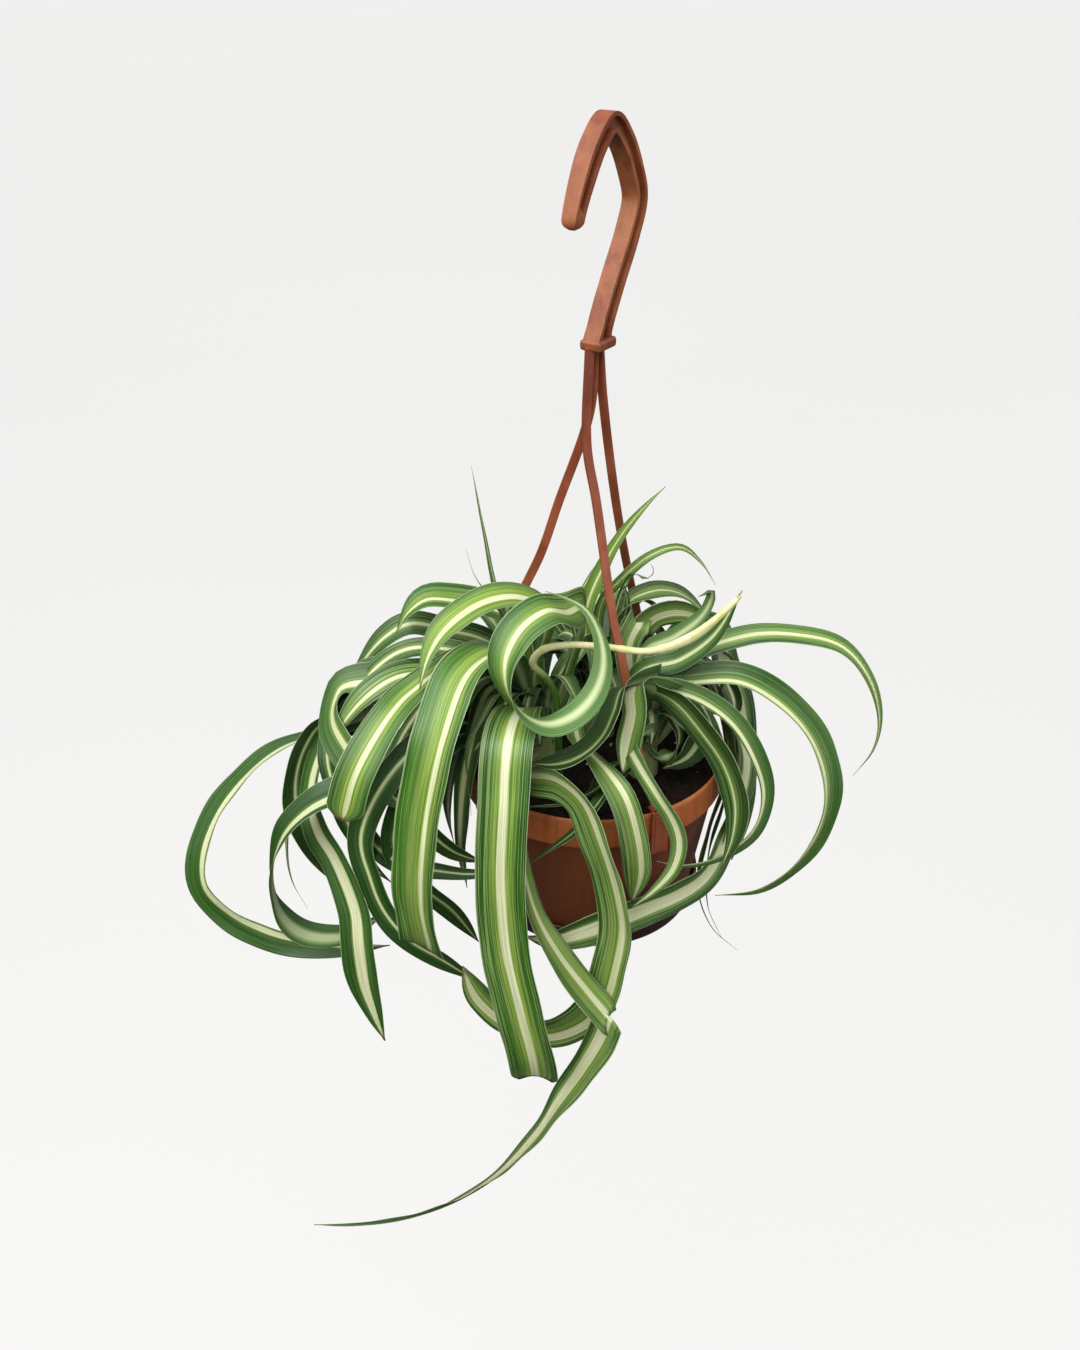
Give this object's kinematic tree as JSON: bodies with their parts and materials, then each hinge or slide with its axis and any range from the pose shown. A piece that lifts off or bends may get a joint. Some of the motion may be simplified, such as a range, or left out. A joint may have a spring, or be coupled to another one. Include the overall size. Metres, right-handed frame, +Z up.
{
  "type": "potted spider plant",
  "caption": "Variegated spider plant with long arching striped leaves in a plastic hanging pot with drip saucer, strap hanger and hook.",
  "frame": {"origin": "seat of the hook, where its inner top lies on the rail", "axes": "+Z up, hook opens towards +X, rail runs along Y"},
  "size_m": [0.3134, 0.3221, 0.6143],
  "materials": {
    "pot_plastic": "satin",
    "saucer_plastic": "satin",
    "hanger_plastic": "satin",
    "soil": "matte",
    "leaf": "satin",
    "runner": "satin"
  },
  "bodies": {
    "root": {"pot": "pot_plastic", "saucer": "saucer_plastic", "hanger": "hanger_plastic", "potting_soil": "soil", "left_crown": "leaf", "right_crown": "leaf", "back_crown": "leaf", "runner": "runner"}
  },
  "joints": []
}
